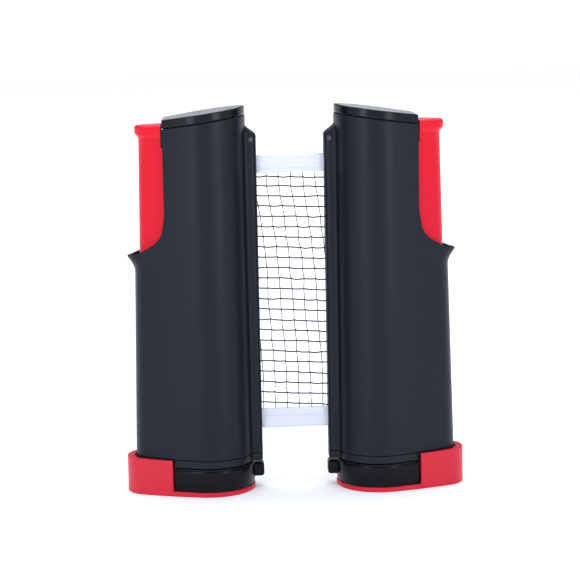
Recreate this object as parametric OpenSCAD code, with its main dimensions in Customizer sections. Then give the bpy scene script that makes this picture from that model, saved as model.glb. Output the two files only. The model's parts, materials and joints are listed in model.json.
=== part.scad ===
// Table tennis net set: two spring-closed table clamps with a self-winding net between them.
// X runs along the net, the net lies in the XZ plane, and both feet stand on Z = 0.
// Each post is drawn about its own reel axis, with +X towards its outer, gripped end.

/* [Layout] */
// Gap between the two noses with the net wound in
rest_gap = 35.8; // [30:0.2:60]
// Distance from the reel axis to the nose tip
nose_reach = 27.8; // [27:0.1:32]
// How far the net pulls out
net_travel = 1650; // [1000:10:1650]
// How far the jaw drops when the clamp is squeezed open
jaw_travel = 42; // [20:1:42]

/* [Housing] */
// Height of the top's inner corner above the ground
top_h = 206.8; // [204:0.2:208]
// Fall of the top towards the outer end, in degrees
top_slope = 8; // [6:0.2:11]
// Height of the housing's flat underside
seat_h = 15.5; // [14:0.1:18]
// Height of the end cover's visible band
band_h = 4.1; // [3:0.1:6]
// Radius of the rounded reel side at the bottom
shell_r_low = 22.7; // [22.4:0.1:23.4]
// Radius of the rounded reel side at the top
shell_r_high = 22.2; // [22:0.1:23]
// Radius of the gripped end
end_r = 10.5; // [9.8:0.1:11]
// Reach of the gripped end from the reel axis, at the bottom
end_low = 40.9; // [40:0.1:42]
// Reach of the gripped end from the reel axis, at the top
end_high = 36.2; // [36:0.1:37]
// Radius of the reel chamber
chamber_r = 20.2; // [19.8:0.1:20.4]
// Thickness of the web between the chamber and the slider's channel
web_t = 1; // [0.8:0.1:1.2]

/* [Finger stop] */
// Reach of the stop's tip from the reel axis
tip_reach = 42.4; // [41:0.1:44]
// Height of the stop's tip
tip_h = 128.3; // [126:0.1:132]
// Height at which the wall starts to flare
flare_h = 119.6; // [115:0.5:122]
// Height at which the housing's front edge starts to curve outwards
scoop_h = 150; // [147:0.5:152]
// Distance of that front edge from the reel axis
edge_reach = 21.7; // [21:0.1:22]

/* [Nose] */
// Thickness of the nose
nose_t = 12; // [10:0.5:14]
// Radius of the nose's long edges
nose_r = 3; // [1:0.5:4]
// Height of the nose's front corner
nose_top = 193; // [190:0.5:194]
// Width of the net slot
slot_w = 3; // [2.6:0.1:4]
// Radius of the cross pin
pin_r = 1.4; // [1:0.1:1.6]
// Height of the cross pin
pin_h = 189; // [188:0.5:190]

/* [Cap] */
// Thickness of the cap
cap_t = 4.8; // [3:0.1:5]

/* [Slider] */
// Radius that the slider's flats are tangent to, about the reel axis
slider_r = 19.4; // [19:0.1:19.6]
// Radius of the slider's end
slider_end_r = 9; // [8:0.1:9.5]
// Reach of the slider's end below the grip
slider_low = 35.5; // [35:0.1:35.5]
// Reach of the slider's end at the top of the grip
slider_high = 34.4; // [33.5:0.1:35]
// Wall thickness
slider_wall = 2.2; // [1.8:0.1:2.4]
// Height of the palm lip's upper face
lip_top = 197.7; // [197:0.1:199]
// How far the palm lip stands out
lip_out = 1.95; // [1:0.05:2.2]

/* [Foot] */
// Radius of the foot's reel side
foot_r = 23.5; // [23.2:0.1:24]
// Radius of the foot's outer end
foot_end_r = 13.5; // [13:0.1:14]
// Reach of the foot's outer end from the reel axis
foot_reach = 45.7; // [45:0.1:47]
// Thickness of the base plate
plate_t = 2.6; // [2:0.1:4]
// Height of the cup's rim
cup_h = 19.6; // [17:0.1:22]
// Clearance between the cup and the housing
cup_gap = 0.8; // [0.5:0.1:1.2]
// Radius of the jaw pad's reel side
pad_r = 23.3; // [22:0.1:23.4]

/* [Net] */
// Height of the net's lower edge
net_low = 32.2; // [28:0.2:36]
// Height of the net's upper edge
net_high = 180.6; // [176:0.2:184]
// Height of the top tape
top_tape_h = 9.7; // [6:0.1:14]
// Height of the bottom tape
bottom_tape_h = 10.8; // [6:0.1:14]
// Thickness of a tape with the net folded into it
tape_t = 1.6; // [1:0.1:2]
// Thickness of the mesh
mesh_t = 0.8; // [0.5:0.1:1.2]
// Thickness that one turn adds to the wound net
wound_t = 0.6; // [0.5:0.01:0.6]

/* [Hidden] */
$fn = 64;

housing_black = "#20232b";
pad_black = "#17171c";
clamp_red = "#e12a41";
tape_white = "#eef2fa";
mesh_black = "#15161a";
steel_grey = "#b9bcc2";

cut = 60;               // larger than any section of a post
fit = 0.4;              // running clearance of the slider in its channel
reel_steps = 30;
tip_steps = 12;
axis_x = rest_gap / 2 + nose_reach;
cover_top = seat_h + band_h;
web_r = chamber_r + web_t;
slot_low = net_low - 5;
slot_high = net_high + 4;
tan_top = tan(top_slope);
corner_x = -20.8;       // where the top's inner corner starts to round over

// Slider, spring and seat
spring_x = 27.6;
spring_r = 3.1;
wire_r = 0.6;
spring_turns = 13;
seat_z = 100;
seat_t = 4;
seat_half = 4.5;
guide_r = 1.9;
guide_top = 183 - jaw_travel;
ceiling_z = 186;
draft_z = 134;
lip_low = 190.4;
lip_wide = [193.4, 196.2];
slider_floor_t = 5;
lug_y = 6;

// Screws
screw_r = 1.1;
head_r = 1.9;
head_t = 1.6;
cover_screw_l = 12;
foot_screw_l = 13;
cover_screw_at = [[-25.2, 3.8], [-25.2, -3.8], [38.7, 0]];
foot_screw_at = [[spring_x, lug_y], [spring_x, -lug_y]];

// Foot
step_x = 21.0;          // where the cup's wall starts, measured on the reel side's flats
tab = [5.1, 9, 7.8];
tab_low = 6.1;
pad_top = seat_h - 0.3;
edge_round = 1.2;

// Reel
spindle_r = 2;
run_fit = 0.05;
tube_r = 7;
tube_bore = 5.6;
tube_low = 30;
tube_high = 183;
flange_r = 9.5;
flange_t = 2;
plug_l = 8;
socket_deep = 2;
return_turns = 32;
roll_r = sqrt(tube_r * tube_r + (net_travel + rest_gap) * wound_t / PI);

// Net
rod_r = 2.5;
rod_x = -15.7;
hem_t = 1;
net_left = -axis_x + roll_r + 0.5;
hem_right = axis_x + rod_x;

// A point on a cubic curve
function bezier(a, b, c, d, t) =
    pow(1 - t, 3) * a + 3 * pow(1 - t, 2) * t * b + 3 * (1 - t) * t * t * c + pow(t, 3) * d;

// Height of the top's face at a distance x from the reel axis, lowered by drop
function top_z(x, drop = 0) = top_h - drop - (x - corner_x) * tan_top;

// Reach of the housing's end at height z, without the flare
function end_reach(z) = end_low + (end_high - end_low) * (z - seat_h) / (top_h - seat_h);

// Radius of the reel side at height z
function side_r(z) = shell_r_low + (shell_r_high - shell_r_low) * (z - seat_h) / (top_h - seat_h);

// Extra reach of the flare at a share t of its height
function flare(t) = (tip_reach - end_reach(tip_h)) * (1 - cos(90 * t));

// Places a post's part on the right, or mirrored on the left
module on_right() translate([axis_x, 0, 0]) children();
module on_left() mirror([1, 0, 0]) on_right() children();

// Points round the post's plan: a large arc about the reel axis and a small one at the gripped end
function plan_points(r, reach, tip_r) =
    let (centre = reach - tip_r, lean = asin((r - tip_r) / centre))
    concat(
        [for (i = [0 : tip_steps]) let (a = (90 - lean) * (2 * i / tip_steps - 1))
            [centre + tip_r * cos(a), tip_r * sin(a)]],
        [for (i = [0 : reel_steps]) let (a = 90 - lean + 2 * (90 + lean) * i / reel_steps)
            [r * cos(a), r * sin(a)]]
    );

// The same points at height z, the far end drawn out by spread
function ring(z, r, reach, tip_r, spread = 0) = [
    for (p = plan_points(r, reach, tip_r))
        [p[0] + spread * pow(max(0, p[0] - edge_reach) / (reach - edge_reach), 2), p[1], z]
];

module plan(r, reach, tip_r) polygon(plan_points(r, reach, tip_r));

// A closed skin over rings that each have the same number of points
module loft(rings) {
    n = len(rings[0]);
    last = len(rings) - 1;
    polyhedron(
        [for (points = rings) each points],
        concat(
            [for (i = [0 : last - 1]) for (j = [0 : n - 1])
                let (k = (j + 1) % n, a = i * n, b = a + n)
                each [[a + j, b + j, b + k], [a + j, b + k, a + k]]],
            [[for (j = [0 : n - 1]) j], [for (j = [n - 1 : -1 : 0]) last * n + j]]
        )
    );
}

module prism(low, high) translate([0, 0, low]) linear_extrude(high - low) children();

// Everything above the sloping plane that lies drop under the top's face
module above_top(drop) {
    rotate([90, 0, 0]) linear_extrude(2 * cut, center = true) polygon([
        [-cut, top_z(-cut, drop)], [cut, top_z(cut, drop)], [cut, top_h + cut], [-cut, top_h + cut]
    ]);
}

// The nose's plan, with its long edges rounded
module nose_plan() {
    half = nose_t / 2;
    translate([-nose_reach, -half + nose_r]) square([nose_reach - chamber_r + 1, nose_t - 2 * nose_r]);
    translate([-nose_reach + nose_r, -half]) square([nose_reach - chamber_r + 1 - nose_r, nose_t]);
    for (side = [-1, 1]) translate([-nose_reach + nose_r, side * (half - nose_r)]) circle(nose_r);
}

// The channel that the slider runs in
module channel_plan() {
    difference() {
        plan(slider_r + fit, slider_low + fit, slider_end_r + fit);
        circle(web_r);
    }
}

// ---- Housing ----

// The drafted outside, with the finger stop's flare
module shell_body(low) {
    steps = 4;
    heights = [low, for (i = [0 : steps]) flare_h + i / steps * (tip_h - flare_h), top_h + 1];
    loft([for (z = heights)
        ring(z, side_r(z), end_reach(z), end_r, flare(max(0, min(1, (z - flare_h) / (tip_h - flare_h)))))
    ]);
}

// What is cut away above the finger stop, for the slider to show
module scoop() {
    steps = 16;
    a = [edge_reach, scoop_h];
    b = [edge_reach, scoop_h - 12.5];
    c = [edge_reach + 6.2, tip_h + 4.5];
    d = [tip_reach, tip_h];
    rotate([90, 0, 0]) linear_extrude(2 * cut, center = true) polygon(concat(
        [[edge_reach, top_h + cut]],
        [for (i = [0 : steps]) bezier(a, b, c, d, i / steps)],
        [[tip_reach + cut, tip_h - 2], [tip_reach + cut, top_h + cut]]
    ));
}

module housing() color(housing_black) difference() {
    union() {
        shell_body(cover_top);
        prism(cover_top, nose_top + 3) nose_plan();
    }
    scoop();
    above_top(cap_t);
    // the nose's sloping shoulder
    rotate([90, 0, 0]) linear_extrude(2 * cut, center = true) polygon([
        [-nose_reach - 1, nose_top - 3], [-nose_reach + 1, nose_top],
        [-shell_r_high - 0.3, nose_top + 2.8], [-shell_r_high - 0.3, top_h + cut],
        [-cut, top_h + cut], [-cut, nose_top - 3]
    ]);
    prism(seat_h, top_h + 1) circle(chamber_r);
    prism(seat_h, top_h + 1) channel_plan();
    translate([-nose_reach - 1, -slot_w / 2, slot_low])
        cube([nose_reach - chamber_r + 3, slot_w, slot_high - slot_low]);
    translate([-nose_reach + 2.9, 0, pin_h]) rotate([90, 0, 0]) cylinder(r = pin_r, h = cut, center = true);
    for (p = cover_screw_at) translate([p[0], p[1], seat_h]) cylinder(r = screw_r, h = cover_screw_l);
}

// The shelf that carries the spring, joined to the web
module spring_shelf() color(housing_black) difference() {
    union() {
        prism(seat_z - seat_t, seat_z) difference() {
            translate([0, -seat_half]) square([spring_x, 2 * seat_half]);
            circle(web_r);
        }
        translate([spring_x, 0, seat_z - seat_t]) cylinder(r = spring_r + wire_r + 0.1, h = seat_t);
    }
    translate([spring_x, 0, seat_z - seat_t - 1]) cylinder(r = guide_r, h = seat_t + 2);
}

module housing_with_shelf() {
    housing();
    spring_shelf();
}

module nose_pin() color(steel_grey)
    translate([-nose_reach + 2.9, 0, pin_h]) rotate([90, 0, 0])
        cylinder(r = pin_r, h = nose_t + 0.6, center = true);

// The cap follows the sloping top and plugs the chamber; bore is the hole for the rod under it
module cap(bore_x, bore_r) color(housing_black) difference() {
    union() {
        intersection() {
            difference() {
                prism(top_h - 20, top_h + 5) plan(shell_r_high + 0.1, end_high + 0.1, end_r);
                above_top(0);
            }
            above_top(cap_t - 0.05);
            translate([-cut, -cut, 0]) cube([cut + edge_reach - 0.1, 2 * cut, top_h + cut]);
        }
        difference() {
            prism(top_h - 15, top_h + 5) circle(chamber_r - 0.1);
            above_top(cap_t - 0.5);
        }
    }
    translate([bore_x, 0, top_h - 16]) cylinder(r = bore_r, h = 6);
}

// The end cover closes the reel chamber and leaves the slider's channel open
module end_cover(bore_x, bore_r) color(housing_black) difference() {
    union() {
        prism(seat_h, cover_top - 0.05) plan(shell_r_low, end_low, end_r);
        prism(seat_h, cover_top - 0.05) nose_plan();
    }
    prism(seat_h - 1, cover_top + 1) channel_plan();
    translate([bore_x, 0, cover_top - socket_deep]) cylinder(r = bore_r, h = socket_deep + 1);
    for (p = cover_screw_at) translate([p[0], p[1], seat_h - 1]) {
        cylinder(r = screw_r, h = band_h + 2);
        cylinder(r = head_r, h = head_t + 1.2);
    }
}

// A countersunk-size pan screw standing on z = 0, head down, with a cross recess
module screw(length) {
    difference() {
        cylinder(r = head_r - 0.05, h = head_t);
        for (turn = [0, 90]) rotate([0, 0, turn]) translate([-1.2, -0.25, -0.5]) cube([2.4, 0.5, 1.3]);
    }
    cylinder(r = screw_r, h = length);
}

module cover_screws() color(steel_grey)
    for (p = cover_screw_at) translate([p[0], p[1], seat_h + 0.2]) screw(cover_screw_l - 1);

module foot_screws() color(steel_grey)
    for (p = foot_screw_at) translate([p[0], p[1], 0.2]) screw(foot_screw_l);

// ---- Clamp spring ----

// A round wire coil between two heights, with closed end turns
module coil(r, wire, turns, low, high, sides = 6, steps = 14) {
    n = turns * steps;
    points = [
        for (i = [0 : n])
            let (
                t = i / n,
                angle = 360 * i / steps,
                rise = t - sin(360 * t) / (2 * PI) * 0.6,
                z = low + wire + (high - low - 2 * wire) * rise
            )
            for (j = [0 : sides - 1])
                let (b = 360 * j / sides, out = r + wire * cos(b))
                [out * cos(angle), out * sin(angle), z + wire * sin(b)]
    ];
    side_faces = [
        for (i = [0 : n - 1]) for (j = [0 : sides - 1])
            let (k = (j + 1) % sides, a = i * sides, b = a + sides)
            each [[a + j, b + j, b + k], [a + j, b + k, a + k]]
    ];
    start_face = [for (j = [0 : sides - 1]) j];
    end_face = [for (j = [sides - 1 : -1 : 0]) n * sides + j];
    polyhedron(points, concat(side_faces, [start_face, end_face]));
}

module clamp_spring() color(steel_grey)
    translate([spring_x, 0, 0]) coil(spring_r, wire_r, spring_turns, seat_z + 0.05, ceiling_z - 0.05);

module spring_guide() color(steel_grey)
    translate([spring_x, 0, seat_z - seat_t]) cylinder(r = guide_r, h = guide_top - seat_z + seat_t);

// ---- Jaw ----

// The slider's ring at height z, grown outwards by grow
function slider_ring(z, reach, grow = 0) = ring(z, slider_r + grow, reach + grow, slider_end_r + grow);

module slider() color(clamp_red) difference() {
    loft([
        slider_ring(plate_t, slider_low), slider_ring(draft_z, slider_low), slider_ring(lip_low, slider_high),
        slider_ring(lip_wide[0], slider_high, lip_out), slider_ring(lip_wide[1], slider_high, lip_out),
        slider_ring(lip_top, slider_high, lip_out - 1)
    ]);
    // clear of the web, and hollow between the floor and the ceiling
    prism(plate_t - 1, lip_top + 1) circle(web_r + fit);
    prism(plate_t + slider_floor_t + 8, ceiling_z)
        plan(slider_r - slider_wall, slider_high - slider_wall, slider_end_r - slider_wall);
    // the lip stops short of the housing's front edge and of the cap
    translate([-cut, -cut, ceiling_z + 2]) cube([cut + edge_reach + 0.5, 2 * cut, cut]);
    for (p = foot_screw_at) translate([p[0], p[1], plate_t - 1]) cylinder(r = screw_r, h = foot_screw_l);
}

// The half of the plane beyond the cup's step, its edge square to the slanting flats
module cup_side(shift = 0) {
    lean = asin((foot_r - foot_end_r) / (foot_reach - foot_end_r));
    middle_x = step_x - foot_r * sin(lean) / pow(cos(lean), 2) + step_x * pow(tan(lean), 2);
    far = 2 * cut;
    translate([shift, 0]) for (side = [-1, 1]) {
        polygon([[middle_x, 0], [middle_x + far * tan(lean), side * far], [far * 2, side * far], [far * 2, 0]]);
    }
}

module foot() color(clamp_red) difference() {
    union() {
        prism(0, plate_t) plan(foot_r, foot_reach, foot_end_r);
        prism(0, cup_h) difference() {
            intersection() {
                plan(foot_r, foot_reach, foot_end_r);
                cup_side();
            }
            plan(shell_r_low + cup_gap, end_low + cup_gap, end_r + cup_gap);
        }
    }
    for (p = foot_screw_at) translate([p[0], p[1], -1]) {
        cylinder(r = screw_r, h = plate_t + 2);
        cylinder(r = head_r, h = head_t + 1.2);
    }
}

module jaw_pad() color(pad_black) {
    half = tab[1] / 2;
    difference() {
        union() {
            prism(plate_t, pad_top - edge_round) plan(pad_r, end_low, end_r);
            prism(pad_top - edge_round, pad_top) plan(pad_r - edge_round / 3, end_low, end_r);
        }
        prism(0, seat_h + 1) circle_beyond_pad();
    }
    // the tab under the nose
    translate([-pad_r - tab[0], 0, tab_low]) {
        translate([1, -half, 0]) cube([tab[0] + 2, tab[1], tab[2]]);
        translate([0, -half + 1, 1]) cube([tab[0], tab[1] - 2, tab[2] - 2]);
    }
}

// The pad ends short of the slider, and short of the cup's step on both sides
module circle_beyond_pad() {
    difference() {
        translate([0, -cut]) square([cut, 2 * cut]);
        difference() {
            circle(web_r - 0.3);
            cup_side(-0.3);
        }
        difference() {
            plan(pad_r, end_low, end_r);
            cup_side(-0.3);
            plan(slider_r + fit, slider_low + fit, slider_end_r + fit);
        }
    }
}

// ---- Reel, in the left post ----

module reel_spindle() color(steel_grey)
    translate([0, 0, cover_top - socket_deep]) cylinder(r = spindle_r, h = top_h - 11 - cover_top + socket_deep);

module reel_tube() color(housing_black) difference() {
    prism(tube_low, tube_high) circle(tube_r);
    prism(tube_low - 1, tube_high + 1) circle(tube_bore);
}

// A flanged bush plugged into the tube from z = 0 upwards
module bush() color(housing_black) difference() {
    union() {
        translate([0, 0, -flange_t]) cylinder(r = flange_r, h = flange_t);
        cylinder(r = tube_bore - 0.02, h = plug_l);
    }
    translate([0, 0, -flange_t - 1]) cylinder(r = spindle_r + run_fit, h = plug_l + flange_t + 2);
}

module reel_top_bush() translate([0, 0, tube_high]) mirror([0, 0, 1]) bush();
module reel_bottom_bush() translate([0, 0, tube_low]) bush();

module reel_spring() color(steel_grey)
    coil(3.6, 0.4, return_turns, tube_low + plug_l + 2, tube_high - plug_l - 2, 5, 10);

module net_roll() color(mesh_black) difference() {
    prism(net_low, net_high) circle(roll_r);
    prism(net_low - 1, net_high + 1) circle(tube_r + 0.02);
}

// ---- Net, fixed in the right post ----

module band(low, high, thick) translate([net_left, -thick / 2, low])
    cube([hem_right - rod_r - hem_t - net_left, thick, high - low]);

module net_mesh() color(mesh_black) band(net_low + bottom_tape_h, net_high - top_tape_h, mesh_t);
module net_top_tape() color(tape_white) band(net_high - top_tape_h, net_high, tape_t);
module net_bottom_tape() color(tape_white) band(net_low, net_low + bottom_tape_h, tape_t);

module net_hem() color(tape_white) translate([rod_x, 0, 0]) difference() {
    prism(net_low, net_high) circle(rod_r + hem_t);
    prism(net_low - 1, net_high + 1) circle(rod_r + 0.02);
}

module net_anchor_rod() color(steel_grey) translate([rod_x, 0, cover_top - socket_deep])
    cylinder(r = rod_r, h = top_h - 11 - cover_top + socket_deep);

// ---- Nodes ----

module left_housing() on_left() housing_with_shelf();
module left_cap() on_left() cap(0, spindle_r);
module left_end_cover() on_left() end_cover(0, spindle_r);
module left_cover_screws() on_left() cover_screws();
module left_nose_pin() on_left() nose_pin();
module left_spring_guide() on_left() spring_guide();
module left_clamp_spring() on_left() clamp_spring();
module left_slider() on_left() slider();
module left_foot() on_left() foot();
module left_jaw_pad() on_left() jaw_pad();
module left_foot_screws() on_left() foot_screws();
module right_housing() on_right() housing_with_shelf();
module right_cap() on_right() cap(rod_x, rod_r);
module right_end_cover() on_right() end_cover(rod_x, rod_r);
module right_cover_screws() on_right() cover_screws();
module right_nose_pin() on_right() nose_pin();
module right_spring_guide() on_right() spring_guide();
module right_clamp_spring() on_right() clamp_spring();
module right_slider() on_right() slider();
module right_foot() on_right() foot();
module right_jaw_pad() on_right() jaw_pad();
module right_foot_screws() on_right() foot_screws();

left_housing();
left_cap();
left_end_cover();
left_cover_screws();
left_nose_pin();
left_spring_guide();
left_clamp_spring();
left_slider();
left_foot();
left_jaw_pad();
left_foot_screws();
right_housing();
right_cap();
right_end_cover();
right_cover_screws();
right_nose_pin();
right_spring_guide();
right_clamp_spring();
right_slider();
right_foot();
right_jaw_pad();
right_foot_screws();
on_left() reel_spindle();
on_left() reel_tube();
on_left() reel_top_bush();
on_left() reel_bottom_bush();
on_left() reel_spring();
on_left() net_roll();
net_mesh();
net_top_tape();
net_bottom_tape();
on_right() net_hem();
on_right() net_anchor_rod();
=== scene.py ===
import json
import math

import bmesh
import bpy
import numpy as np
from mathutils import Matrix, Vector


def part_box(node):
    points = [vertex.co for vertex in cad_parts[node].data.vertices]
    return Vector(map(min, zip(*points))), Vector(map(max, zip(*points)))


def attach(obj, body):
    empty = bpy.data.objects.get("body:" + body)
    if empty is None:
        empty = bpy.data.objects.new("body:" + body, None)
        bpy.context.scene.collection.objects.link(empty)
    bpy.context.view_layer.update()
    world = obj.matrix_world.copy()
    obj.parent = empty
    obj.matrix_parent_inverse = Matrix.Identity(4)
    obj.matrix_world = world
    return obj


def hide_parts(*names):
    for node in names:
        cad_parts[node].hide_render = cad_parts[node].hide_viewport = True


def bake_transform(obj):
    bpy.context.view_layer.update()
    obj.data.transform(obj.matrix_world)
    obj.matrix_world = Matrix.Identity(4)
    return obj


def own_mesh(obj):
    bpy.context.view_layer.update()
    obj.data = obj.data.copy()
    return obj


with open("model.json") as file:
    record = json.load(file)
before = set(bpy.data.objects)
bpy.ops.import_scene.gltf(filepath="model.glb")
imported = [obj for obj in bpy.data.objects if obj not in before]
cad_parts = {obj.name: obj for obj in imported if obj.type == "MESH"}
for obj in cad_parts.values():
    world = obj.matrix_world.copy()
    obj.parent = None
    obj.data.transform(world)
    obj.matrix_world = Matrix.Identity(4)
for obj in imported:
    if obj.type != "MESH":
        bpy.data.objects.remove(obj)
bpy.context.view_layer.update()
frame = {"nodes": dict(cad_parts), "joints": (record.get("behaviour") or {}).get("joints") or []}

# A retractable table tennis net set: two mirrored clamp posts with the net between them.
# Lengths are in millimetres until make() turns them to metres. A post is drawn about its own
# reel axis, with +x towards its gripped end, and place() puts it on the left or the right.
MM = 0.001
SIDES = {"left": -1, "right": 1}


def box(node):
    low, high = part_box(node)
    return np.array(low) / MM, np.array(high) / MM


def joint_reach(name):
    joint = next(j for j in frame["joints"] if j["name"] == name)
    return joint["range_m"][1] / MM


# ---- Dimensions ----

axis_x = -sum(b[0] for b in box("reel_spindle")) / 2
cover_low, cover_high = box("right_end_cover")
housing_high = box("right_housing")[1]
foot_high = box("right_foot")[1]
pin_low, pin_high = box("right_nose_pin")
spring_low, spring_high = box("right_clamp_spring")
seat_z, band_z = cover_low[2], cover_high[2]
nose_reach = axis_x - cover_low[0]
tip_reach = housing_high[0] - axis_x
foot_reach = foot_high[0] - axis_x
cup_z = foot_high[2]
net_low, net_high = box("net_bottom_tape")[0][2], box("net_top_tape")[1][2]
mesh_low, mesh_high = box("net_mesh")[0][2], box("net_mesh")[1][2]
net_left, net_right = box("net_mesh")[0][0], box("net_mesh")[1][0]
travel = joint_reach("net_extension")

top_z = 206.8          # the top's inner corner
corner_x = -20.8
top_fall = math.tan(math.radians(8))
cap_t = 4.8
cap_inset = 0.2
rim_deep = 4.0
lap = 0.05             # how much thinner the cap is than its step
shell_r = (22.7, 22.2)         # the reel side's radius, low and high
shell_reach = (40.9, 36.2)     # the gripped end's reach, low and high
end_r = 10.5
side_arc_r = 200.0     # the plan's long sides are almost flat
wall = 2.0
edge_reach = 21.7      # the front edge beside the slider
scoop_z = 150.0        # where that edge starts to curve outwards
flare_z = 119.6        # where the finger stop starts to flare
tip_z = 128.3          # the finger stop's tip
nose_half = 6.0
nose_r = 3.0
nose_fillet = 2.5
slot_half = 1.5
slot_z = (27.2, 184.6)
shoulder_z = (190.9, 197.0)    # the nose runs out between these heights
seam = 0.12            # the open line above the end cover
slider_r = 19.4
slider_end_r = 9.0
slider_reach = (35.5, 34.4)
slider_wall = 2.2
web_gap_r = 21.6
draft_z = 134.0
running_fit = 0.4      # between the slider and its channel
lip_z = (190.6, 194.0, 196.4, 197.7)    # the palm lip: start, full width, start of its rounding, top
lip_out = 1.95
lip_x = edge_reach + 0.5
channel_x = 16.4       # where the slider's inner face starts
ceiling_z = 186.0      # the slider is hollow between these two
floor_z = 15.6
foot_r = 23.5
foot_end_r = 13.5
plate_t = 2.6
cup_gap = 0.8
step_x = 21.0          # where the cup's wall starts
foot_screw_at = (27.6, 6.0)
pad_r = (23.0, 23.6)
pad_fillet = 2.0
tab_z = (6.1, 13.9)
tab_half = 4.5
spring_r = 3.1
spring_turns = 13
wire_r = 0.6


# ---- Mesh helpers ----


def make(name, verts, faces, side=None, weld=0.0):
    """A mesh object from millimetre points; side puts a post's part on the left or the right."""
    points = np.array(verts, float)
    if side:
        points[:, 0] = (points[:, 0] + axis_x) * SIDES[side]
    mesh = bpy.data.meshes.new(name)
    mesh.from_pydata((points * MM).tolist(), [], faces)
    obj = bpy.data.objects.new(name, mesh)
    bpy.context.scene.collection.objects.link(obj)
    bm = bmesh.new()
    bm.from_mesh(mesh)
    if weld:
        bmesh.ops.remove_doubles(bm, verts=bm.verts, dist=weld * MM)
    bmesh.ops.recalc_face_normals(bm, faces=bm.faces)
    bm.to_mesh(mesh)
    bm.free()
    mesh.shade_smooth()
    return obj


def bake(obj):
    """Applies the modifiers."""
    graph = bpy.context.evaluated_depsgraph_get()
    mesh = bpy.data.meshes.new_from_object(obj.evaluated_get(graph))
    obj.modifiers.clear()
    obj.data = mesh
    return obj


def bevel(obj, width, segments=3, angle=35):
    m = obj.modifiers.new("edges", "BEVEL")
    m.width = width * MM
    m.segments = segments
    m.limit_method = "ANGLE"
    m.angle_limit = math.radians(angle)
    m.use_clamp_overlap = False
    m.harden_normals = True
    m.miter_outer = "MITER_ARC"
    return bake(obj)


def combine(obj, operation, *tools):
    """Joins the tools' volume to obj (UNION) or takes it away (DIFFERENCE), and removes them."""
    for tool in tools:
        m = obj.modifiers.new("combine", "BOOLEAN")
        m.operation = operation
        m.solver = "EXACT"
        m.object = tool
    bake(obj)
    for tool in tools:
        bpy.data.objects.remove(tool)
    return obj


def arc(cx, cy, r, start, end, n):
    """n + 1 points along an arc, angles in degrees."""
    return [
        (cx + r * math.cos(math.radians(a)), cy + r * math.sin(math.radians(a)))
        for a in np.linspace(start, end, n + 1)
    ]


def side_arc(r, reach, tip_r):
    """The long side's arc, tangent to both round ends: its centre, its start and its end."""
    centre = reach - tip_r
    near, far = side_arc_r - r, side_arc_r - tip_r
    cx = (centre**2 - far**2 + near**2) / (2 * centre)
    cy = -math.sqrt(near**2 - cx**2)
    start = (-cx * r / near, -cy * r / near)
    end = (centre + (centre - cx) * tip_r / far, -cy * tip_r / far)
    return (cx, cy), start, end


def lean_at(x, r, reach, tip_r):
    """How far the long side's normal leans towards the gripped end at x, in radians."""
    return math.asin((x - side_arc(r, reach, tip_r)[0][0]) / side_arc_r)


def flat_y(x, r, reach, tip_r):
    """How far out the plan's long side lies at x."""
    cx, cy = side_arc(r, reach, tip_r)[0]
    return cy + math.sqrt(side_arc_r**2 - (x - cx) ** 2)


def along_side(start_x, end_x, r, reach, tip_r, n):
    """n points along the long side from start_x towards end_x, without the last."""
    xs = [start_x + (end_x - start_x) * i / n for i in range(n)]
    return [(x, flat_y(x, r, reach, tip_r)) for x in xs]


def reel_half(r, reach, tip_r, start=180.0, n=24):
    """Half of the plan's reel side, from the angle start to where the long side begins."""
    x, y = side_arc(r, reach, tip_r)[1]
    return arc(0, 0, r, start, math.degrees(math.atan2(y, x)), n)


def end_half(r, reach, tip_r, start_x, flat=8, n=14):
    """Half of the plan's gripped end, from start_x along the long side and round to y = 0."""
    centre = reach - tip_r
    x, y = side_arc(r, reach, tip_r)[2]
    turn = math.degrees(math.atan2(y, x - centre))
    return along_side(start_x, x, r, reach, tip_r, flat) + arc(centre, 0, tip_r, turn, 0, n)


def mirrored(half):
    """Closes a half outline, given from y >= 0 at one end to y = 0 at the other."""
    other = [(x, -y) for x, y in reversed(half) if y > 1e-6]
    return half + other


def plan(r, reach, tip_r):
    start_x = side_arc(r, reach, tip_r)[1][0]
    return mirrored(reel_half(r, reach, tip_r)[:-1] + end_half(r, reach, tip_r, start_x))


def circle(cx, cy, r, n=24):
    turns = [2 * math.pi * i / n for i in range(n)]
    return [(cx + r * math.cos(a), cy + r * math.sin(a)) for a in turns]


def grid_faces(rows, columns, first=0, closed=False):
    """Quads over rows x columns points that start at index first."""
    faces = []
    for i in range(rows - 1):
        for j in range(columns if closed else columns - 1):
            k = (j + 1) % columns
            a, b = first + i * columns, first + (i + 1) * columns
            faces.append((a + j, a + k, b + k, b + j))
    return faces


def loft(name, rings, side=None, weld=0.0):
    """A closed solid through rings of points that have the same count."""
    n = len(rings[0])
    verts = [p for ring in rings for p in ring]
    faces = grid_faces(len(rings), n, closed=True)
    faces += [tuple(range(n)), tuple(range(len(verts) - 1, len(verts) - 1 - n, -1))]
    return make(name, verts, faces, side, weld)


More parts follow.
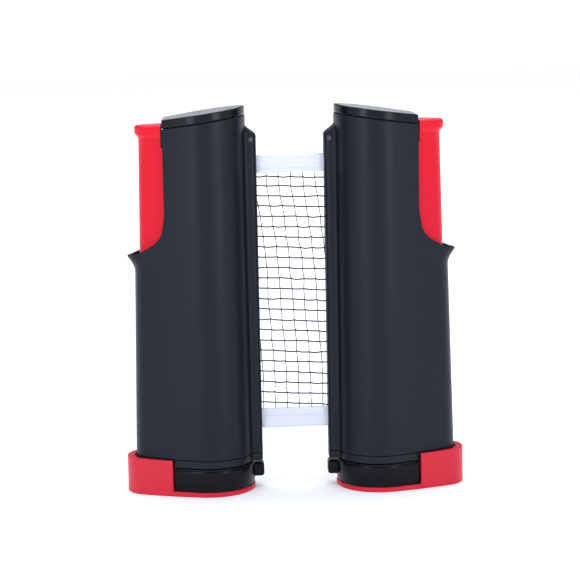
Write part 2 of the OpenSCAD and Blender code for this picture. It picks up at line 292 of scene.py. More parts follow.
def prism(name, outline, low, high, side=None, holes=()):
    """An outline with holes, extruded; low and high are heights, or functions of x."""
    bm = bmesh.new()
    low_of = low if callable(low) else (lambda x: low)
    high_of = high if callable(high) else (lambda x: high)
    for height in (low_of, high_of):
        edges = []
        for loop in (outline, *holes):
            ring = [bm.verts.new((x, y, height(x))) for x, y in loop]
            edges += [bm.edges.new((a, b)) for a, b in zip(ring, ring[1:] + ring[:1])]
        bmesh.ops.triangle_fill(bm, edges=edges, use_beauty=True)
    bmesh.ops.dissolve_limit(bm, angle_limit=0.01, verts=[], edges=bm.edges)
    bm.verts.ensure_lookup_table()
    total = len(bm.verts) // 2
    first = 0
    for loop in (outline, *holes):
        n = len(loop)
        for i in range(n):
            a, b = first + i, first + (i + 1) % n
            bm.faces.new([bm.verts[k] for k in (a, b, b + total, a + total)])
        first += n
    mesh = bpy.data.meshes.new(name)
    bm.to_mesh(mesh)
    bm.free()
    verts = [tuple(v.co) for v in mesh.vertices]
    faces = [tuple(p.vertices) for p in mesh.polygons]
    bpy.data.meshes.remove(mesh)
    return make(name, verts, faces, side)


def lathe(name, profile, centre, axis, n=32, side=None):
    """A solid of revolution; profile is (radius, height) pairs, closed on the axis at both ends."""
    verts = []
    for r, h in profile:
        for i in range(n):
            a = 2 * math.pi * i / n
            u, v = r * math.cos(a), r * math.sin(a)
            local = (u, h, v) if axis == "y" else (u, v, h)
            verts.append(tuple(c + d for c, d in zip(centre, local)))
    faces = grid_faces(len(profile), n, closed=True)
    faces += [tuple(range(n)), tuple(range(len(verts) - n, len(verts)))[::-1]]
    return make(name, verts, faces, side, weld=1e-4)


# ---- Materials ----


def material(name, rgb, roughness, metallic=0.0, specular=0.5):
    m = bpy.data.materials.new(name)
    m.use_nodes = True
    shader = m.node_tree.nodes["Principled BSDF"]
    shader.inputs["Base Color"].default_value = (*rgb, 1)
    shader.inputs["Roughness"].default_value = roughness
    shader.inputs["Metallic"].default_value = metallic
    shader.inputs["Specular IOR Level"].default_value = specular
    return m


class Nodes:
    """Short ways to add nodes to a material."""

    def __init__(self, m):
        self.tree = m.node_tree
        self.shader = m.node_tree.nodes["Principled BSDF"]
        self.place = self.add("ShaderNodeTexCoord").outputs["Object"]

    def add(self, kind, **settings):
        node = self.tree.nodes.new(kind)
        for key, value in settings.items():
            if key in node.inputs:
                node.inputs[key].default_value = value
            else:
                setattr(node, key, value)
        return node

    def link(self, a, b):
        self.tree.links.new(a, b)

    def noise(self, scale, detail=2.0, rough=0.5, stretch=(1, 1, 1)):
        """Noise over the object's own coordinates; scale is in cells per metre."""
        mapping = self.add("ShaderNodeMapping")
        mapping.inputs["Scale"].default_value = stretch
        self.link(self.place, mapping.inputs["Vector"])
        node = self.add("ShaderNodeTexNoise")
        node.inputs["Scale"].default_value = scale
        node.inputs["Detail"].default_value = detail
        node.inputs["Roughness"].default_value = rough
        self.link(mapping.outputs["Vector"], node.inputs["Vector"])
        return node.outputs["Fac"]

    def between(self, fac, low, high, start=0.0, end=1.0):
        node = self.add("ShaderNodeMapRange")
        for key, value in (("From Min", start), ("From Max", end), ("To Min", low), ("To Max", high)):
            node.inputs[key].default_value = value
        self.link(fac, node.inputs["Value"])
        return node.outputs["Result"]

    def colours(self, fac, a, b):
        node = self.add("ShaderNodeMix", data_type="RGBA")
        node.inputs["A"].default_value = (*a, 1)
        node.inputs["B"].default_value = (*b, 1)
        self.link(fac, node.inputs["Factor"])
        return node.outputs["Result"]

    def bump(self, height, distance, strength=1.0, under=None):
        node = self.add("ShaderNodeBump")
        node.inputs["Distance"].default_value = distance * MM
        node.inputs["Strength"].default_value = strength
        self.link(height, node.inputs["Height"])
        if under:
            self.link(under, node.inputs["Normal"])
        return node.outputs["Normal"]


def scaled(rgb, k):
    return tuple(min(1.0, c * k) for c in rgb)


def moulded(name, rgb, roughness, grain=0.02, specular=0.5):
    """Injection-moulded plastic: fine spark-eroded grain, faint flow marks, small colour drift."""
    m = material(name, rgb, roughness, specular=specular)
    n = Nodes(m)
    drift = n.noise(28, 3, 0.55, (1, 1, 0.35))
    n.link(n.colours(drift, scaled(rgb, 0.90), scaled(rgb, 1.10)), n.shader.inputs["Base Color"])
    flow = n.noise(90, 4, 0.6, (1, 1, 0.25))
    n.link(n.between(flow, roughness - 0.045, roughness + 0.045, 0.3, 0.7), n.shader.inputs["Roughness"])
    fine = n.noise(2600, 2, 0.5)
    wave = n.noise(55, 2, 0.4, (1, 1, 0.3))
    broad = n.bump(wave, 0.05, 0.25)
    n.link(n.bump(fine, grain, 0.5, broad), n.shader.inputs["Normal"])
    return m


def steel(name, rgb, roughness, stretch):
    m = material(name, rgb, roughness, metallic=1.0)
    n = Nodes(m)
    grain = n.noise(1500, 3, 0.6, stretch)
    n.link(n.between(grain, roughness - 0.08, roughness + 0.12, 0.3, 0.7), n.shader.inputs["Roughness"])
    n.link(n.colours(n.noise(300, 3), scaled(rgb, 0.85), scaled(rgb, 1.08)), n.shader.inputs["Base Color"])
    n.link(n.bump(grain, 0.01, 0.4), n.shader.inputs["Normal"])
    return m


def woven(name, rgb, pitch, depth):
    """Plain-woven tape: threads along the net and up it, with a soft nap."""
    m = material(name, rgb, 0.85, specular=0.25)
    m.node_tree.nodes["Principled BSDF"].inputs["Sheen Weight"].default_value = 0.25
    n = Nodes(m)
    threads = []
    for direction in ("X", "Z"):
        wave = n.add("ShaderNodeTexWave", wave_type="BANDS", bands_direction=direction)
        wave.inputs["Scale"].default_value = math.pi / (10 * pitch * MM)
        wave.inputs["Distortion"].default_value = 0.6
        wave.inputs["Detail Scale"].default_value = 2.0
        n.link(n.place, wave.inputs["Vector"])
        threads.append(wave.outputs["Fac"])
    both = n.add("ShaderNodeMath", operation="MAXIMUM")
    n.link(threads[0], both.inputs[0])
    n.link(threads[1], both.inputs[1])
    nap = n.noise(1400, 3, 0.6)
    n.link(n.colours(both.outputs[0], scaled(rgb, 0.88), rgb), n.shader.inputs["Base Color"])
    n.link(n.bump(both.outputs[0], depth, 0.7, n.bump(nap, 0.05, 0.3)), n.shader.inputs["Normal"])
    return m


def twine(name, rgb):
    m = material(name, rgb, 0.62, specular=0.35)
    n = Nodes(m)
    fibre = n.noise(5200, 3, 0.6)
    n.link(n.colours(fibre, scaled(rgb, 0.6), scaled(rgb, 1.6)), n.shader.inputs["Base Color"])
    n.link(n.bump(fibre, 0.05, 0.6), n.shader.inputs["Normal"])
    return m


housing_black = moulded("housing_black", (0.0050, 0.0072, 0.0125), 0.38, specular=0.2)
cover_black = moulded("cover_black", (0.0044, 0.0064, 0.0112), 0.34, specular=0.22)
cap_black = moulded("cap_black", (0.0028, 0.0042, 0.0075), 0.22, grain=0.005, specular=0.2)
clamp_red = moulded("clamp_red", (0.67, 0.008, 0.025), 0.36, grain=0.012, specular=0.13)
foot_red = moulded("foot_red", (0.58, 0.010, 0.030), 0.42, grain=0.012, specular=0.3)
pad_black = moulded("pad_black", (0.0020, 0.0028, 0.0056), 0.24, grain=0.012, specular=0.14)
pin_steel = steel("pin_steel", (0.09, 0.093, 0.10), 0.45, (1, 1, 1))
spring_steel = steel("spring_steel", (0.50, 0.51, 0.54), 0.28, (1, 1, 4))
tape_white = woven("tape_white", (0.75, 0.77, 0.84), 0.42, 0.05)
stitch_white = twine("stitch_white", (0.62, 0.66, 0.76))
net_black = twine("net_black", (0.010, 0.011, 0.015))


def finish_piece(obj, look, body, slot, *nodes):
    obj.data.materials.clear()
    obj.data.materials.append(look)
    if body:
        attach(obj, body)
    if nodes:
        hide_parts(*nodes)
    return obj


# ---- Housing ----


def mix(pair, share):
    return pair[0] + (pair[1] - pair[0]) * share


def height_share(z):
    return (z - seat_z) / (top_z - seat_z)


def side_r(z):
    return mix(shell_r, height_share(z))


def end_reach(z):
    return mix(shell_reach, height_share(z))


def top_plane(x, drop=0.0):
    return top_z - drop - (x - corner_x) * top_fall


def flare(z):
    t = min(1.0, max(0.0, (z - flare_z) / (tip_z - flare_z)))
    return (tip_reach - end_reach(tip_z)) * (1 - math.cos(math.radians(90 * t)))


def spread(point, z):
    """Draws the gripped end out into the finger stop."""
    x, y = point
    share = max(0.0, x - edge_reach) / (end_reach(z) - edge_reach)
    return x + flare(z) * share**2, y


def bezier(a, b, c, d, n=60):
    t = np.linspace(0, 1, n + 1)[:, None]
    a, b, c, d = (np.array(p, float) for p in (a, b, c, d))
    return (1 - t) ** 3 * a + 3 * (1 - t) ** 2 * t * b + 3 * (1 - t) * t * t * c + t**3 * d


scoop = bezier(
    (edge_reach, scoop_z), (edge_reach, scoop_z - 12.5), (edge_reach + 6.2, tip_z + 4.5), (tip_reach, tip_z)
)


def scoop_height(x):
    return float(np.interp(x, scoop[:, 0], scoop[:, 1]))


def nose_share(z):
    """How far the nose stands out at height z: all of it below the shoulder, none above."""
    low, high = shoulder_z
    t = min(1.0, max(0.0, (z - low) / (high - low)))
    return 1 - t * t * (3 - 2 * t)


def nose_half_plan(z):
    """The reel side with its nose, from the slot's edge to the housing's front edge."""
    r, reach = side_r(z), end_reach(z)
    centre_x = math.sqrt((r + nose_fillet) ** 2 - (nose_half + nose_fillet) ** 2)
    root = math.degrees(math.atan2(nose_half + nose_fillet, centre_x))
    nose = [(-nose_reach, slot_half), (-nose_reach, slot_half + 0.6)]
    nose += arc(-nose_reach + nose_r, nose_half - nose_r, nose_r, 180, 90, 6)
    nose += arc(-centre_x, nose_half + nose_fillet, nose_fillet, -90, -root, 5)
    share = nose_share(z)
    shaped = []
    for x, y in nose:
        a = math.atan2(y, x)
        shaped.append((mix((r * math.cos(a), x), share), mix((r * math.sin(a), y), share)))
    round_side = reel_half(r, reach, end_r, 180 - root)
    long_side = along_side(round_side[-1][0], edge_reach, r, reach, end_r, 5)
    return shaped + round_side[1:-1] + long_side + [(edge_reach, flat_y(edge_reach, r, reach, end_r))]


def gripped_end(z):
    """Half of the plan's gripped end at height z, without the flare."""
    return end_half(side_r(z), end_reach(z), end_r, edge_reach)


def housing_shell(side):
    """The drafted sleeve: a full-height reel side, and a gripped end that the scoop cuts off."""
    lower = [band_z + seam, band_z + 1.2, slot_z[0], 60, 90, flare_z]
    rise = [i / 16 for i in range(1, 17)]
    upper = [160, 172, slot_z[1], 188, *np.linspace(*shoulder_z, 9), 199, 201.6, 202.7]
    verts, faces, slot_edges = [], [], []
    seam_drop = cap_t + 0.15
    for mirror in (1, -1):
        grid = []
        for z in lower + [flare_z + t * (scoop_z - flare_z) for t in rise] + upper:
            row = []
            for x, y in nose_half_plan(z):
                height = z
                if z > slot_z[1]:
                    share = (z - slot_z[1]) / (upper[-1] - slot_z[1])
                    height = slot_z[1] + share * (top_plane(x, seam_drop) - slot_z[1])
                    height = z if x < -side_r(z) and z < shoulder_z[1] else height
                row.append((x, y * mirror, height))
            grid.append(row)
        columns = len(grid[0])
        slot_edges.append([len(verts) + i * columns for i in range(len(grid))])
        faces += grid_faces(len(grid), columns, len(verts))
        verts += [p for row in grid for p in row]
        grid = [[(*spread(p, z), z) for p in gripped_end(z)] for z in lower]
        tops = [scoop_top(j) for j in range(len(grid[0]))]
        for t in rise:
            heights = [flare_z + t * (top - flare_z) for top in tops]
            grid.append([(*spread(gripped_end(z)[j], z), z) for j, z in enumerate(heights)])
        faces += grid_faces(len(grid), len(tops), len(verts))
        verts += [(x, y * mirror, z) for row in grid for x, y, z in row]
    # the nose's tip is closed below and above the net slot
    front, back = slot_edges
    for i in range(len(front) - 1):
        if not slot_z[0] - 0.01 < verts[front[i]][2] < slot_z[1] - 0.01:
            faces.append((front[i], back[i], back[i + 1], front[i + 1]))
    return make(f"{side}_housing_shell", verts, faces, side, weld=0.02)


def scoop_top(column):
    """The height at which a column of the gripped end meets the scoop's curve."""
    low, high = tip_z - 1, scoop_z
    for _ in range(40):
        z = (low + high) / 2
        x = spread(gripped_end(z)[column], z)[0]
        if scoop_height(x) > z:
            low = z
        else:
            high = z
    return z


def housing(side):
    obj = housing_shell(side)
    m = obj.modifiers.new("wall", "SOLIDIFY")
    m.thickness = wall * MM
    m.offset = -1
    m.use_even_offset = True
    bake(obj)
    bevel(obj, 0.4, 3, 40)
    return finish_piece(obj, housing_black, f"{side}_post", "housing_black", f"{side}_housing")


def end_cover(side):
    """The band round the bottom, with the nose's foot and the slider's channel."""
    z = (seat_z + band_z) / 2
    half = nose_half_plan(z)[:-1] + gripped_end(z)
    reach, r, tip_r = (size + running_fit for size in (slider_reach[0], slider_r, slider_end_r))
    web = arc(0, 0, web_gap_r - running_fit, 0, 41, 12)[::-1]
    channel = mirrored(end_half(r, reach, tip_r, web[0][0] + 0.2))
    channel += [(x, -y) for x, y in web[:-1]] + web[::-1]
    obj = prism(f"{side}_end_band", mirrored(half), seat_z, band_z - seam, side, [channel])
    bevel(obj, 0.25, 3, 40)
    return finish_piece(obj, cover_black, f"{side}_post", "housing_black", f"{side}_end_cover")


def side_to(end_x, r, reach, tip_r):
    """Half of the plan from the reel side as far as end_x on the long side."""
    half = reel_half(r, reach, tip_r, n=32)
    half = half[:-1] + along_side(half[-1][0], end_x, r, reach, tip_r, 5)
    return half + [(end_x, flat_y(end_x, r, reach, tip_r))]


def cap(side):
    """The sloping lid, cut straight where the slider starts, with a rim inside the housing's wall."""
    r, reach = shell_r[1] - cap_inset, shell_reach[1] - cap_inset
    end_x = edge_reach - 0.1
    half = side_to(end_x, r, reach, end_r)
    half += [(end_x, half[-1][1] / 2), (end_x, 0)]
    obj = prism(
        f"{side}_top_cap", mirrored(half), lambda x: top_plane(x, cap_t - lap), top_plane, side
    )
    bevel(obj, 0.8, 4, 40)
    finish_piece(obj, cap_black, f"{side}_post", "housing_black", f"{side}_cap")
    r, reach = r - wall - 0.1, reach - wall - 0.1
    end_x -= 0.6
    half = side_to(end_x, r, reach, end_r - wall) + [(end_x, 0)]
    rim = prism(
        f"{side}_cap_rim", mirrored(half),
        lambda x: top_plane(x, cap_t + rim_deep), lambda x: top_plane(x, cap_t - 0.5), side,
    )
    return finish_piece(rim, cap_black, f"{side}_post", "housing_black")


def nose_pin(side):
    """A round-headed cross pin near the top of the nose."""
    r = (pin_high[2] - pin_low[2]) / 2
    half = pin_high[1]
    centre = ((pin_low[0] + pin_high[0]) / 2 - axis_x, 0, (pin_low[2] + pin_high[2]) / 2)
    angles = np.linspace(0, math.pi / 2 - 0.15, 6)
    dome = [(r * math.cos(a), half - 0.5 + 0.5 * math.sin(a)) for a in angles]
    profile = [(x, -h) for x, h in reversed(dome)] + dome
    obj = lathe(f"{side}_cross_pin", profile, centre, "y", 32, side)
    return finish_piece(obj, pin_steel, f"{side}_post", "steel", f"{side}_nose_pin")


# ---- Jaw ----


def slider_ring(z, reach, grow, gripped):
    """The slider's section, clear of the reel, or only its gripped half above the housing's edge."""
    r, tip_r = slider_r + grow, slider_end_r + grow
    half = end_half(r, reach + grow, tip_r, lip_x)
    inner = (lip_x, half[0][1]) if gripped else (channel_x, flat_y(channel_x, r, reach + grow, tip_r))
    half = [inner] + half
    if gripped:
        back = [(lip_x, inner[1] * (1 - i / 6)) for i in range(1, 12)]
    else:
        turn = math.degrees(math.atan2(inner[1], inner[0]))
        back = arc(0, 0, math.hypot(*inner), turn, -turn, 12)[1:-1]
    return [(x, y, z) for x, y in mirrored(half)[::-1] + back]


def slider(side):
    """The red palm slider: a drafted channel section with a lip rolled out at the top."""
    reach_low, reach_high = slider_reach
    rings = [slider_ring(z, reach_low, 0, False) for z in (plate_t, 60, 100, draft_z)]
    for share in (0.25, 0.5, 0.75, 1.0):
        z = mix((draft_z, ceiling_z), share)
        rings.append(slider_ring(z, mix((reach_low, reach_high), share), 0, False))
    rings.append(slider_ring(ceiling_z, reach_high, 0, True))
    for share in np.linspace(0, 1, 10):
        grow = lip_out * share * share * (3 - 2 * share)
        rings.append(slider_ring(mix(lip_z[:2], share), reach_high, grow, True))
    for a in np.radians(np.linspace(0, 84, 7)):
        z = lip_z[2] + (lip_z[3] - lip_z[2]) * math.sin(a) / math.sin(math.radians(84))
        rings.append(slider_ring(z, reach_high, lip_out - 1.3 * (1 - math.cos(a)), True))
    leg = loft(f"{side}_palm_slider", rings, side, weld=0.01)
    inside = plan(*(size - slider_wall for size in (slider_r, slider_reach[1], slider_end_r)))
    hollow = prism("hollow", inside, floor_z, ceiling_z - 2, side)
    combine(leg, "DIFFERENCE", hollow)
    bevel(leg, 0.3, 2, 50)
    return finish_piece(leg, clamp_red, f"{side}_jaw", "clamp_red", f"{side}_slider")


def step_line():
    """The foot's outline split at the cup's step: the reel part, the end part and the wall's inside."""
    lean = lean_at(step_x, foot_r, foot_reach, foot_end_r)
    outer = (step_x, flat_y(step_x, foot_r, foot_reach, foot_end_r))
    shell = (side_r(seat_z) + cup_gap, end_reach(seat_z) + cup_gap, end_r + cup_gap)
    inner_x = step_x
    for _ in range(20):
        y = flat_y(inner_x, *shell)
        inner_x = outer[0] - (outer[1] - y) * math.tan(lean)
    reel = side_to(step_x, foot_r, foot_reach, foot_end_r)[:-1]
    return reel, end_half(foot_r, foot_reach, foot_end_r, step_x, 8, 20), end_half(*shell, inner_x, 8, 20)


def foot(side):
    """Base plate and cup wall in one piece."""
    reel, end, inside = step_line()
    outline = mirrored(reel + end)
    x, y = foot_screw_at
    screws = [circle(x, y, 1.9, 20), circle(x, -y, 1.9, 20)]
    plate = prism(f"{side}_foot_plate", outline, 0, plate_t, side, screws)
    ring = mirrored(end)
    ring = ring + [(x, -y) for x, y in inside] + [(x, y) for x, y in inside[::-1]][1:]
    wall_piece = prism(f"{side}_cup_wall", ring, plate_t - 0.6, cup_z, side)
    combine(plate, "UNION", wall_piece)
    bevel(plate, 0.55, 3, 40)
    return finish_piece(plate, foot_red, f"{side}_jaw", "clamp_red", f"{side}_foot")


def pad_ring(z, grow):
    """The pad's outline at height z: round under the reel, cut to a ring beside the channel."""
    r = np.interp(z, (plate_t, plate_t + 4), pad_r) + grow
    reach = shell_reach[0] + grow
    lean = lean_at(step_x, foot_r, foot_reach, foot_end_r)
    edge_x = step_x - 0.3
    for _ in range(20):
        rise = flat_y(step_x, foot_r, foot_reach, foot_end_r) - flat_y(edge_x, r, reach, end_r)
        edge_x = step_x - 0.3 - rise * math.tan(lean) + grow
    half = side_to(edge_x, r, reach, end_r)
    inner = (edge_x - 1.2, half[-1][1] - 2.8 - grow)
    turn = math.degrees(math.atan2(inner[1], inner[0]))
    half += arc(0, 0, math.hypot(*inner), turn, 0, 10)
    return [(x, y, z) for x, y in mirrored(half)]


def jaw_pad(side):
    """The rubber pad on the base plate, its upper edge rounded, with the tab under the nose."""
    low, high = box("right_jaw_pad")
    rings = [pad_ring(z, 0) for z in (plate_t, plate_t + 2, plate_t + 4, 10)]
    for a in np.radians(np.linspace(0, 90, 8)):
        rings.append(pad_ring(high[2] - pad_fillet * (1 - math.sin(a)), -pad_fillet * (1 - math.cos(a))))
    obj = loft(f"{side}_rubber_pad", rings, side)
    bevel(obj, 0.3, 2, 50)
    tab_low, tab_high = (low[0] - axis_x, -tab_half, tab_z[0]), (-pad_r[1] + 2, tab_half, tab_z[1])
    corners = [(x, y, z) for x in (0, 1) for y in (0, 1) for z in (0, 1)]
    verts = [tuple(mix((tab_low[i], tab_high[i]), c[i]) for i in range(3)) for c in corners]
    faces = [(0, 1, 3, 2), (4, 6, 7, 5), (0, 4, 5, 1), (2, 3, 7, 6), (0, 2, 6, 4), (1, 5, 7, 3)]
    tab = make(f"{side}_pad_tab", verts, faces, side)
    bevel(tab, 1.6, 5, 40)
    finish_piece(tab, pad_black, f"{side}_jaw", "pad_black")
    return finish_piece(obj, pad_black, f"{side}_jaw", "pad_black", f"{side}_jaw_pad")


def coil(r, wire, turns, low, high, centre, steps=20, around=8):
    """A round wire spring with closed end turns."""
    n = turns * steps
    verts = []
    for i in range(n + 1):
        t = i / n
        a = 2 * math.pi * i / steps
        z = low + wire + (high - low - 2 * wire) * (t - 0.6 * math.sin(2 * math.pi * t) / (2 * math.pi))
        for j in range(around):
            b = 2 * math.pi * j / around
            out = r + wire * math.cos(b)
            verts.append((centre + out * math.cos(a), out * math.sin(a), z + wire * math.sin(b)))
    faces = grid_faces(n + 1, around, closed=True)
    faces += [tuple(range(around)), tuple(range(n * around, (n + 1) * around))[::-1]]
    return verts, faces


def clamp_spring(side):
    centre = (spring_low[0] + spring_high[0]) / 2 - axis_x
    verts, faces = coil(spring_r, wire_r, spring_turns, spring_low[2], spring_high[2], centre)
    obj = make(f"{side}_clamp_coil", verts, faces, side)
    finish_piece(obj, spring_steel, f"{side}_post", "spring_steel", f"{side}_clamp_spring")
    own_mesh(obj)
    return obj


# ---- Net ----

net_pitch = 6.45       # between columns, along the net
first_column = -12.8
column_count = 300     # more than the whole net has
row_twine_r, column_twine_r = 0.38, 0.23
rows = 23
row_z = (168.5, 44.8)   # the top row and the bottom row, half way between the posts
row_tilt = (0.035, 0.067)      # how steeply each falls towards the right post
pull_at = ((45, 8.9), (70, 8.5), (95, 6.8), (125, 5.2), (145, 3.0), (165, 0.0))
stored = (net_left + 0.3, net_left + 6.3)    # where the stored net hides, inside the left nose
stitch_pitch = 2.6
stitch_r = 0.16


def rest_x(x):
    """Where a point of the pulled-out net lies at rest.

    x is measured with the right post at rest. Past the hidden stretch, the net that the reel pays
    out is packed so that the blend between the posts spreads it evenly again.
    """
    x = np.asarray(x, float)
    start, end = stored
    low, high = np.zeros_like(x), np.ones_like(x)
    for _ in range(60):
        t = (low + high) / 2
        w = t * t * (3 - 2 * t)
        there = start + (end - start) * t + travel * w - travel
        low = np.where(there < x, t, low)
        high = np.where(there < x, high, t)
    packed = start + (end - start) * (low + high) / 2
    return np.where(x >= end, x, packed)


def tubes(paths, radii, around=6):
    """Closed tubes along paths that lie in the net's plane."""
    verts, faces = [], []
    for path, radius in zip(paths, radii):
        path = np.array(path, float)
        along = np.gradient(path, axis=0)
        along /= np.linalg.norm(along, axis=1)[:, None]
        first = len(verts)
        for p, d in zip(path, along):
            across = np.array((d[2], 0, -d[0]))
            for j in range(around):
                b = 2 * math.pi * j / around
                verts.append(p + radius * (math.cos(b) * across + math.sin(b) * np.array((0, 1, 0))))
        n = len(path)
        faces += grid_faces(n, around, first, closed=True)
        faces.append(tuple(range(first, first + around)))
        faces.append(tuple(range(first + (n - 1) * around, first + n * around))[::-1])
    return verts, faces


def column_shift(z):
    """How far the mesh has pulled to the right at height z; it hangs straight only at its ends."""
    heights, shifts = zip(*pull_at)
    return float(np.interp(z, heights, shifts))


def row_height(row, x):
    """The rows lie a little closer together near the top, and tilt beside the right post."""
    share = row / (rows - 1)
    lift = 1.25 * math.sin(math.pi * share**0.6)
    return mix(row_z, share) + lift - mix(row_tilt, share) * max(x, -30)


def net_mesh():
    """The knotted mesh, pulled out to its full length and packed back by rest_x()."""
    rng = np.random.default_rng(7)
    left = stored[0] - travel
    columns = np.arange(first_column - net_pitch * column_count, net_right, net_pitch)
    columns = columns[(columns > left + 2) & (columns < net_right - 9.5)]
    paths, radii, knots = [], [], {}
    for i in range(rows):
        points = [(left, 0, row_height(i, left))]
        for k, x in enumerate(columns):
            z = row_height(i, x)
            knot_x = x + column_shift(z) + rng.normal(0, 0.18)
            knot_z = z + rng.normal(0, 0.12)
            knots[i, k] = (knot_x, 0, knot_z)
            last = points[-1]
            sag = rng.normal(-0.15, 0.16)
            if knot_x - last[0] > 2:
                points.append((mix((last[0], knot_x), 0.35), 0, mix((last[2], knot_z), 0.35) + sag))
                points.append((mix((last[0], knot_x), 0.72), 0, mix((last[2], knot_z), 0.72) + sag * 0.6))
            points.append(knots[i, k])
        points.append((net_right, 0, row_height(i, net_right)))
        paths.append(points)
        radii.append(row_twine_r)
    for k, x in enumerate(columns):
        low, high = (x + column_shift(z) for z in (mesh_low, mesh_high))
        points = [(high, 0, mesh_high + 2)]
        for i in range(rows):
            last, knot = points[-1], knots[i, k]
            sway = rng.normal(0, 0.16)
            points.append((mix((last[0], knot[0]), 0.5) + sway, 0.0, mix((last[2], knot[2]), 0.5)))
            points.append(knot)
        points.append((low, 0, mesh_low - 2))
        paths.append(points)
        radii.append(column_twine_r)
    verts, faces = tubes(paths, radii)
    for knot in knots.values():
        first = len(verts)
        r = 0.55 + 0.12 * rng.random()
        for dx, dy, dz in ((1.3, 0, 0), (0, 1, 0), (-1.3, 0, 0), (0, -1, 0), (0, 0, 1), (0, 0, -1)):
            verts.append((knot[0] + r * dx, knot[1] + r * dy, knot[2] + r * dz))
        for a, b in ((0, 1), (1, 2), (2, 3), (3, 0)):
            faces += [(first + a, first + b, first + 4), (first + b, first + a, first + 5)]
    verts = np.array(verts, float)
    verts[:, 0] = rest_x(verts[:, 0])
    obj = make("net_knotted_mesh", verts, faces)
    return net_piece(obj, net_black, "net_black", "net_mesh")


def net_piece(obj, look, slot, *nodes):
    finish_piece(obj, look, None, slot, *nodes)
    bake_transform(obj)
    return obj


def tape(name, fold, hem, stitch_z, node):
    """A woven tape folded over the net's edge at fold, its two hems sewn together at stitch_z."""
    half = (box(node)[1][1] - box(node)[0][1]) / 2
    front = [(0.75, hem), (0.98, mix((hem, stitch_z), 0.45)), (0.62, stitch_z)]
    front += [(0.95, mix((stitch_z, fold), 0.35)), (1.0, mix((stitch_z, fold), 0.8)), (0.7, fold)]
    section = [(-half * y, z) for y, z in front] + [(half * y, z) for y, z in reversed(front)]
    hidden = np.linspace(stored[0] - travel, stored[1] - 1, 240)
    stations = np.concatenate([hidden, np.linspace(stored[1], net_right, 40)])
    rings = [[(x, y, z + 0.12 * math.sin(x / 9.0)) for y, z in section] for x in stations]
    verts = np.array([p for ring in rings for p in ring], float)
    verts[:, 0] = rest_x(verts[:, 0])
    obj = make(name, verts, grid_faces(len(rings), len(section)))
    net_piece(obj, tape_white, "tape_white", node)
    paths = []
    for x in np.arange(stored[0] - travel + 3, net_right - 2, stitch_pitch):
        for face in (-half, half):
            rise = ((0, 0.5), (0.4, 0.85), (1.5, 0.85), (1.9, 0.5))
            paths.append([(x + along, face * out, stitch_z) for along, out in rise])
    verts, faces = tubes(paths, [stitch_r] * len(paths), 5)
    verts = np.array(verts, float)
    verts[:, 0] = rest_x(verts[:, 0])
    thread = make(name + "_stitches", verts, faces)
    net_piece(thread, stitch_white, "tape_white")
    return obj


# ---- The whole set ----

for side in SIDES:
    housing(side)
    end_cover(side)
    cap(side)
    nose_pin(side)
    slider(side)
    foot(side)
    jaw_pad(side)
    clamp_spring(side)

net_mesh()
tape("net_upper_tape", net_high, mesh_high, stitch_z=173.1, node="net_top_tape")
tape("net_lower_tape", net_low, mesh_low, stitch_z=38.8, node="net_bottom_tape")

carried = {
    "_cover_screws": pin_steel, "_foot_screws": pin_steel, "_spring_guide": pin_steel,
    "reel_spindle": pin_steel, "net_anchor_rod": pin_steel, "reel_spring": spring_steel,
    "reel_tube": housing_black, "reel_top_bush": housing_black, "reel_bottom_bush": housing_black,
    "net_roll": net_black, "net_hem": tape_white,
}
for node, obj in frame["nodes"].items():
    for ending, look in carried.items():
        if node.endswith(ending):
            for slot in obj.material_slots:
                slot.material = look


# ---- Floor, light and camera ----


def floor():
    """A round white floor that glows a little away from the object."""
    reach, sides = 6000, 96
    obj = make("floor", [(x, y, 0) for x, y in circle(0, 0, reach, sides)], [tuple(range(sides))])
    look = material("floor", (0.95, 0.95, 0.95), 0.9, specular=0.1)
    n = Nodes(look)
    n.link(n.colours(n.noise(6, 3), (0.93, 0.93, 0.935), (0.96, 0.96, 0.96)), n.shader.inputs["Base Color"])
    distance = n.add("ShaderNodeVectorMath", operation="LENGTH")
    n.link(n.place, distance.inputs[0])
    glow = n.between(distance.outputs["Value"], 0.13, 0.75, start=0.7, end=1.7)
    n.link(glow, n.shader.inputs["Emission Strength"])
    n.shader.inputs["Emission Color"].default_value = (1, 1, 1, 1)
    obj.data.materials.append(look)


def softbox(name, place, target, size, watts):
    data = bpy.data.lights.new(name, "AREA")
    data.shape = "RECTANGLE"
    data.size, data.size_y = size
    data.energy = watts
    data.color = (0.93, 0.97, 1.07)
    obj = bpy.data.objects.new(name, data)
    bpy.context.scene.collection.objects.link(obj)
    obj.location = place
    obj.rotation_euler = (Vector(target) - Vector(place)).to_track_quat("-Z", "Y").to_euler()


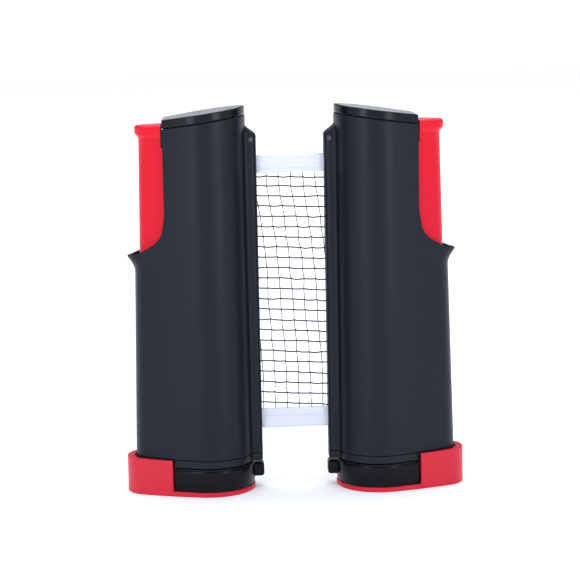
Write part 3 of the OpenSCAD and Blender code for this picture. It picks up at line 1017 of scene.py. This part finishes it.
def camera():
    """At the photograph's angle: a little above and to the left, rolled by about a degree."""
    distance, height = 0.9587, 0.258
    turn, pitch, roll = (math.radians(a) for a in (2.44, 8.93, 1.15))
    data = bpy.data.cameras.new("camera")
    data.sensor_width = 36.0
    data.lens = 112.0
    data.shift_x = -0.0042
    data.clip_start, data.clip_end = 0.05, 20
    obj = bpy.data.objects.new("camera", data)
    bpy.context.scene.collection.objects.link(obj)
    ahead = Vector((math.sin(turn), math.cos(turn), 0))
    right = Vector((math.cos(turn), -math.sin(turn), 0))
    forward = math.cos(pitch) * ahead - Vector((0, 0, math.sin(pitch)))
    up = math.sin(pitch) * ahead + Vector((0, 0, math.cos(pitch)))
    x = math.cos(roll) * right - math.sin(roll) * up
    y = math.sin(roll) * right + math.cos(roll) * up
    axes = Matrix((x, y, -forward)).transposed().to_4x4()
    obj.matrix_world = Matrix.Translation(Vector((0, 0, height)) - distance * ahead) @ axes
    bpy.context.scene.camera = obj


def studio_world():
    """Dim all round, with a white band along the horizon as the backdrop."""
    world = bpy.data.worlds.new("studio")
    world.use_nodes = True
    tree = world.node_tree
    direction = tree.nodes.new("ShaderNodeTexCoord").outputs["Generated"]
    split = tree.nodes.new("ShaderNodeSeparateXYZ")
    tree.links.new(direction, split.inputs[0])
    height = tree.nodes.new("ShaderNodeMath")
    height.operation = "ABSOLUTE"
    tree.links.new(split.outputs["Z"], height.inputs[0])
    band = tree.nodes.new("ShaderNodeMapRange")
    band.interpolation_type = "SMOOTHSTEP"
    for key, value in (("From Min", 0.13), ("From Max", 0.26), ("To Min", 1.1), ("To Max", 0.2)):
        band.inputs[key].default_value = value
    tree.links.new(height.outputs[0], band.inputs["Value"])
    background = tree.nodes["Background"]
    background.inputs["Color"].default_value = (0.94, 0.98, 1.08, 1)
    tree.links.new(band.outputs["Result"], background.inputs["Strength"])
    bpy.context.scene.world = world


floor()
middle = (0, 0, 0.1)
softbox("left_softbox", (-0.88, -1.22, 0.4), middle, (0.5, 0.9), 6)
softbox("right_softbox", (0.88, -1.22, 0.4), middle, (0.5, 0.9), 6)
softbox("front_softbox", (0, -0.95, 1.5), middle, (1.4, 0.5), 2.2)
softbox("top_softbox", (0.0, 0.45, 1.6), (0, 0.4, 0), (2.6, 2.2), 50)
studio_world()
bpy.context.scene.view_settings.view_transform = "Standard"
camera()
